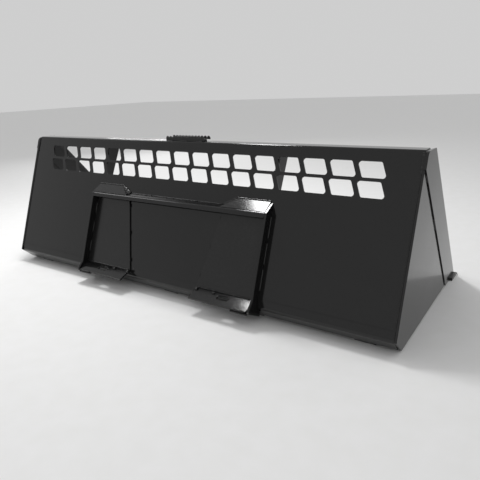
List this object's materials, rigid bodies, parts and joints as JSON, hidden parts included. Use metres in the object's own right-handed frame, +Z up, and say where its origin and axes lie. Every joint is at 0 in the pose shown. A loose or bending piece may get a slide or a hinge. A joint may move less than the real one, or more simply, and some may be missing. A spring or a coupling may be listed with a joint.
{
  "type": "skid steer bucket",
  "caption": "Wide welded skid steer bucket with slanted see-through back, quick-attach hook rail and slotted feet, side cutters, cutting edge, wear runners and a grip step.",
  "frame": {"origin": "middle of the bounding box at ground level, where the wear runners and cutting edge rest", "axes": "+X across the width, to the right as seen from the quick-attach side; +Y forward to the cutting edge; +Z up"},
  "size_m": [2.491, 1.1216, 0.801],
  "materials": {
    "black_paint": "gloss black paint over mill-finish steel plate",
    "bar_paint": "semi-gloss black paint on wear bars, rubbed at the edges",
    "tread_paint": "satin black paint on a serrated grip tread",
    "weld_metal": "painted weld beads"
  },
  "bodies": {
    "root": {"back_sheet": "black_paint", "heel_sheet": "black_paint", "floor_sheet": "black_paint", "top_beam": "black_paint", "back_stiffener_left": "black_paint", "back_stiffener_right": "black_paint", "side_sheet_left": "black_paint", "side_sheet_right": "black_paint", "side_cutter_left": "black_paint", "side_cutter_right": "black_paint", "qa_hook_rail": "black_paint", "qa_hook_ear_left": "black_paint", "qa_hook_ear_right": "black_paint", "qa_half_plate_left": "black_paint", "qa_half_plate_right": "black_paint", "qa_gusset_left": "black_paint", "qa_gusset_right": "black_paint", "qa_foot_left": "black_paint", "qa_foot_right": "black_paint", "qa_foot_toe_bar_left": "black_paint", "qa_foot_toe_bar_right": "black_paint", "cutting_edge": "bar_paint", "wear_runner_1": "bar_paint", "wear_runner_2": "bar_paint", "wear_runner_3": "bar_paint", "wear_runner_4": "bar_paint", "wear_runner_5": "bar_paint", "step_tread": "tread_paint", "step_block_1": "tread_paint", "step_block_2": "tread_paint", "step_block_3": "tread_paint"}
  },
  "joints": []
}
